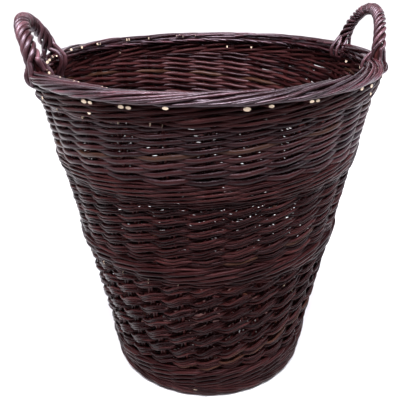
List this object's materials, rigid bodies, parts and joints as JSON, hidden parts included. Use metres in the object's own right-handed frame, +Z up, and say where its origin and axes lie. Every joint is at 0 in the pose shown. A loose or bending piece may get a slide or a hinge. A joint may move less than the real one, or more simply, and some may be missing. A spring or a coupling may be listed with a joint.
{
  "type": "wicker log basket",
  "caption": "Round tapered willow log basket with an open top and two roped loop handles on the rim.",
  "frame": {"origin": "on the floor under the centre of the basket", "axes": "+Z up; the two handles are at +X and -X; +Y and -Y face the plain sides"},
  "size_m": [0.5074, 0.5, 0.5558],
  "materials": {
    "stained_willow": "satin stained willow bark",
    "stained_stick": "satin stained willow bark",
    "pale_brown_willow": "satin stained willow bark"
  },
  "bodies": {
    "root": {"base_weave_inner": "stained_willow", "base_weave_outer": "stained_willow", "border": "pale_brown_willow", "foot_wale": "stained_willow", "left_handle_bow": "stained_stick", "left_handle_strand_1": "pale_brown_willow", "left_handle_strand_2": "pale_brown_willow", "left_handle_strand_3": "pale_brown_willow", "left_handle_strand_4": "pale_brown_willow", "left_handle_strand_5": "pale_brown_willow", "lower_band_wale": "pale_brown_willow", "lower_slewing_first": "stained_willow", "lower_slewing_second": "stained_willow", "middle_slewing": "stained_willow", "pierced_base_stick_1": "stained_stick", "pierced_base_stick_2": "stained_stick", "pierced_base_stick_3": "stained_stick", "pierced_base_stick_4": "stained_stick", "right_handle_bow": "stained_stick", "right_handle_strand_1": "pale_brown_willow", "right_handle_strand_2": "pale_brown_willow", "right_handle_strand_3": "pale_brown_willow", "right_handle_strand_4": "pale_brown_willow", "right_handle_strand_5": "pale_brown_willow", "stake_01": "stained_stick", "stake_02": "stained_stick", "stake_03": "stained_stick", "stake_04": "stained_stick", "stake_05": "stained_stick", "stake_06": "stained_stick", "stake_07": "stained_stick", "stake_08": "stained_stick", "stake_09": "stained_stick", "stake_10": "stained_stick", "stake_11": "stained_stick", "stake_12": "stained_stick", "stake_13": "stained_stick", "stake_14": "stained_stick", "stake_15": "stained_stick", "stake_16": "stained_stick", "stake_17": "stained_stick", "stake_18": "stained_stick", "stake_19": "stained_stick", "stake_20": "stained_stick", "stake_21": "stained_stick", "stake_22": "stained_stick", "stake_23": "stained_stick", "stake_24": "stained_stick", "stake_25": "stained_stick", "stake_26": "stained_stick", "stake_27": "stained_stick", "stake_28": "stained_stick", "threaded_base_stick_1": "stained_stick", "threaded_base_stick_2": "stained_stick", "threaded_base_stick_3": "stained_stick", "top_randing": "stained_willow", "top_wale": "pale_brown_willow", "upper_band_wale": "pale_brown_willow", "upsett_wale": "pale_brown_willow"}
  },
  "joints": []
}
